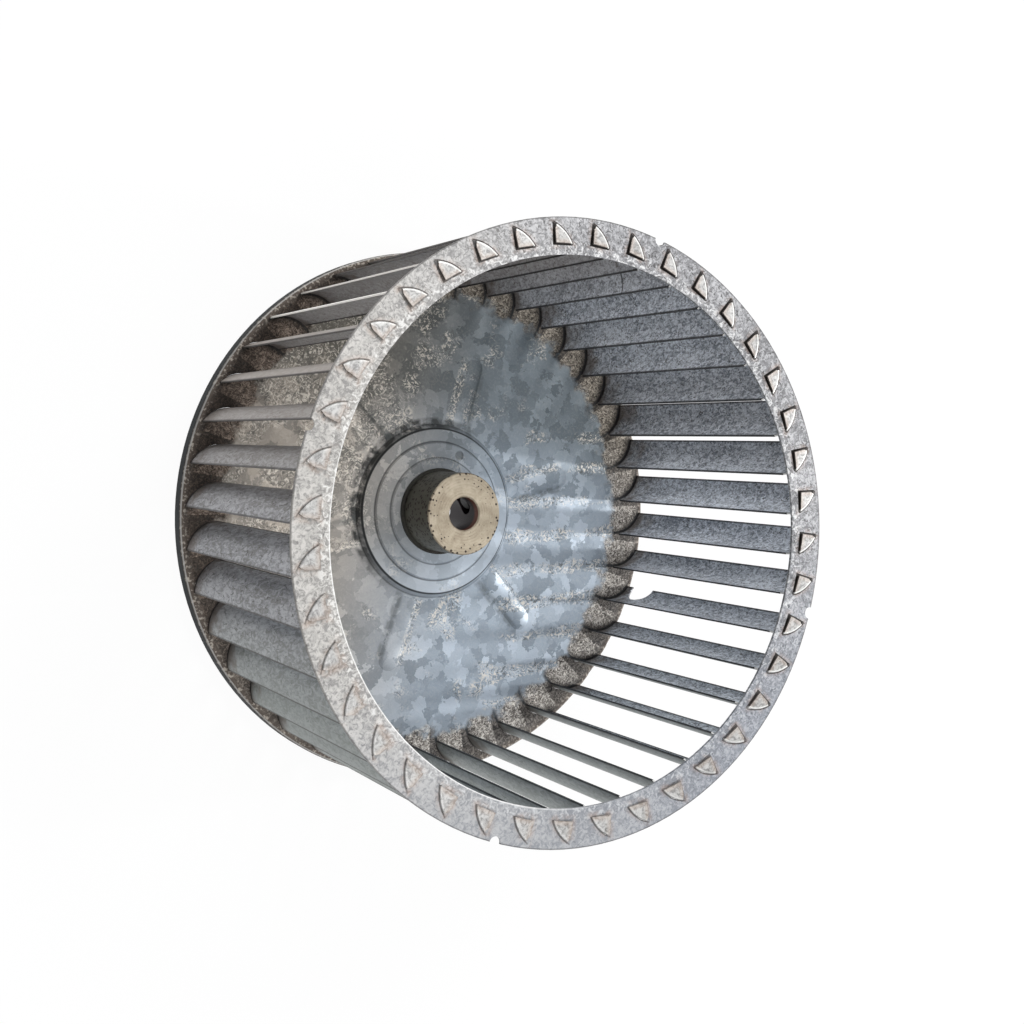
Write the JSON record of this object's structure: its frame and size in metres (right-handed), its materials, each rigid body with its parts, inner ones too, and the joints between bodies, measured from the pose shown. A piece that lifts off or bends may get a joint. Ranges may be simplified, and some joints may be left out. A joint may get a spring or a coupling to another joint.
{
  "type": "blower wheel",
  "caption": "Squirrel-cage blower wheel with forward-curved blades clinched between a flat inlet ring and a lipped back disc, on a bored hub with a set screw.",
  "frame": {"origin": "on the wheel's axis, in the plane of the back lip's standing edge", "axes": "+Z along the wheel's axis towards the inlet ring; +X to the right and +Y up as the picture shows the wheel"},
  "size_m": [0.211, 0.211, 0.1164],
  "materials": {
    "ring_sheet": "galvanised, finely speckled with dust",
    "disc_sheet": "galvanised with weathered spangle and brown dust",
    "blade_sheet": "galvanised, matt and dusty",
    "hub_steel": "turned, faintly yellowed and pitted",
    "screw_steel": "blackened"
  },
  "bodies": {
    "root": {"front_ring": "ring_sheet", "back_disc": "disc_sheet", "hub": "hub_steel", "set_screw": "screw_steel", "blade_01": "blade_sheet", "blade_02": "blade_sheet", "blade_03": "blade_sheet", "blade_04": "blade_sheet", "blade_05": "blade_sheet", "blade_06": "blade_sheet", "blade_07": "blade_sheet", "blade_08": "blade_sheet", "blade_09": "blade_sheet", "blade_10": "blade_sheet", "blade_11": "blade_sheet", "blade_12": "blade_sheet", "blade_13": "blade_sheet", "blade_14": "blade_sheet", "blade_15": "blade_sheet", "blade_16": "blade_sheet", "blade_17": "blade_sheet", "blade_18": "blade_sheet", "blade_19": "blade_sheet", "blade_20": "blade_sheet", "blade_21": "blade_sheet", "blade_22": "blade_sheet", "blade_23": "blade_sheet", "blade_24": "blade_sheet", "blade_25": "blade_sheet", "blade_26": "blade_sheet", "blade_27": "blade_sheet", "blade_28": "blade_sheet", "blade_29": "blade_sheet", "blade_30": "blade_sheet", "blade_31": "blade_sheet", "blade_32": "blade_sheet", "blade_33": "blade_sheet", "blade_34": "blade_sheet", "blade_35": "blade_sheet", "blade_36": "blade_sheet", "blade_37": "blade_sheet", "blade_38": "blade_sheet", "blade_39": "blade_sheet", "blade_40": "blade_sheet"}
  },
  "joints": []
}
